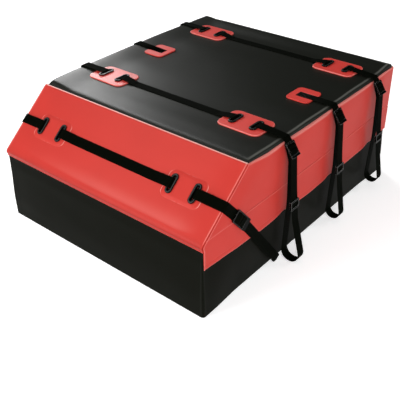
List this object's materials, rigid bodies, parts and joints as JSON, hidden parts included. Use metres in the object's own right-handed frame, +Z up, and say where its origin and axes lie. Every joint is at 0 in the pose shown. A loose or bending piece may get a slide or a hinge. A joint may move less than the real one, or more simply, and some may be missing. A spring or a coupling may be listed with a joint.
{
  "type": "roof cargo bag",
  "caption": "Soft weatherproof cargo bag for a car roof, with a sloped nose, webbing straps through slotted patches, ladder lock buckles and hanging loop straps.",
  "frame": {"origin": "middle of the bag's underside, on the surface that it stands on", "axes": "+Z up; +Y from the sloped nose to the rear; +X across the bag"},
  "size_m": [1.181, 1.24, 0.5064],
  "materials": {
    "black_pvc_cloth": "black PVC coated cloth with a satin face",
    "red_pvc_cloth": "red PVC coated cloth with a satin face",
    "black_webbing": "black woven webbing",
    "buckle_plastic": "black moulded plastic, satin",
    "ring_plastic": "black moulded plastic, glossy",
    "zip_tape": "black zip tape and teeth",
    "zip_metal": "plated zip slider"
  },
  "bodies": {
    "bag": {"lower_tub": "black_pvc_cloth", "upper_cover": "red_pvc_cloth", "top_panel": "black_pvc_cloth", "rain_flap": "red_pvc_cloth", "zip_chain": "zip_tape", "top_patch_front_left": "red_pvc_cloth", "top_patch_front_right": "red_pvc_cloth", "middle_patch_left": "red_pvc_cloth", "middle_patch_right": "red_pvc_cloth", "top_patch_rear_left": "red_pvc_cloth", "top_patch_rear_right": "red_pvc_cloth", "nose_patch_left": "red_pvc_cloth", "nose_patch_right": "red_pvc_cloth", "slot_ring_front_left_inner": "ring_plastic", "slot_ring_front_left_outer": "ring_plastic", "slot_ring_front_right_inner": "ring_plastic", "slot_ring_front_right_outer": "ring_plastic", "slot_ring_rear_left_inner": "ring_plastic", "slot_ring_rear_left_outer": "ring_plastic", "slot_ring_rear_right_inner": "ring_plastic", "slot_ring_rear_right_outer": "ring_plastic", "slot_ring_nose_left_inner": "ring_plastic", "slot_ring_nose_left_outer": "ring_plastic", "slot_ring_nose_right_inner": "ring_plastic", "slot_ring_nose_right_outer": "ring_plastic", "top_strap_front": "black_webbing", "top_strap_middle_left": "black_webbing", "top_strap_middle_right": "black_webbing", "top_strap_rear": "black_webbing", "nose_strap": "black_webbing", "nose_tail_left": "black_webbing", "nose_tail_right": "black_webbing", "loop_strap_front_left": "black_webbing", "loop_strap_front_right": "black_webbing", "loop_strap_middle_left": "black_webbing", "loop_strap_middle_right": "black_webbing", "loop_strap_rear_left": "black_webbing", "loop_strap_rear_right": "black_webbing", "side_buckle_front_left": "buckle_plastic", "side_buckle_front_right": "buckle_plastic", "side_buckle_middle_left": "buckle_plastic", "side_buckle_middle_right": "buckle_plastic", "side_buckle_rear_left": "buckle_plastic", "side_buckle_rear_right": "buckle_plastic", "nose_buckle_left": "buckle_plastic", "nose_buckle_right": "buckle_plastic"},
    "strap_slider_front_left_body": {"strap_slider_front_left": "buckle_plastic"},
    "strap_slider_front_right_body": {"strap_slider_front_right": "buckle_plastic"},
    "strap_slider_middle_left_body": {"strap_slider_middle_left": "buckle_plastic"},
    "strap_slider_middle_right_body": {"strap_slider_middle_right": "buckle_plastic"},
    "strap_slider_rear_left_body": {"strap_slider_rear_left": "buckle_plastic"},
    "strap_slider_rear_right_body": {"strap_slider_rear_right": "buckle_plastic"},
    "zip_slider_left_body": {"zip_slider_left": "zip_metal"},
    "zip_slider_right_body": {"zip_slider_right": "zip_metal"}
  },
  "joints": [
    {"name": "strap_slider_front_left_slide", "type": "slide", "parent": "bag", "child": "strap_slider_front_left_body", "axis": [0.1039, 0, 0.9946], "range_m": [-0.04, 0.045]},
    {"name": "strap_slider_front_right_slide", "type": "slide", "parent": "bag", "child": "strap_slider_front_right_body", "axis": [-0.1039, 0, 0.9946], "range_m": [-0.04, 0.045]},
    {"name": "strap_slider_middle_left_slide", "type": "slide", "parent": "bag", "child": "strap_slider_middle_left_body", "axis": [0.1039, 0, 0.9946], "range_m": [-0.04, 0.045]},
    {"name": "strap_slider_middle_right_slide", "type": "slide", "parent": "bag", "child": "strap_slider_middle_right_body", "axis": [-0.1039, 0, 0.9946], "range_m": [-0.04, 0.045]},
    {"name": "strap_slider_rear_left_slide", "type": "slide", "parent": "bag", "child": "strap_slider_rear_left_body", "axis": [0.1039, 0, 0.9946], "range_m": [-0.04, 0.045]},
    {"name": "strap_slider_rear_right_slide", "type": "slide", "parent": "bag", "child": "strap_slider_rear_right_body", "axis": [-0.1039, 0, 0.9946], "range_m": [-0.04, 0.045]},
    {"name": "zip_left_slide", "type": "slide", "parent": "bag", "child": "zip_slider_left_body", "axis": [-1, 0, 0], "range_m": [0, 0.43]},
    {"name": "zip_right_slide", "type": "slide", "parent": "bag", "child": "zip_slider_right_body", "axis": [1, 0, 0], "range_m": [0, 0.43]}
  ]
}
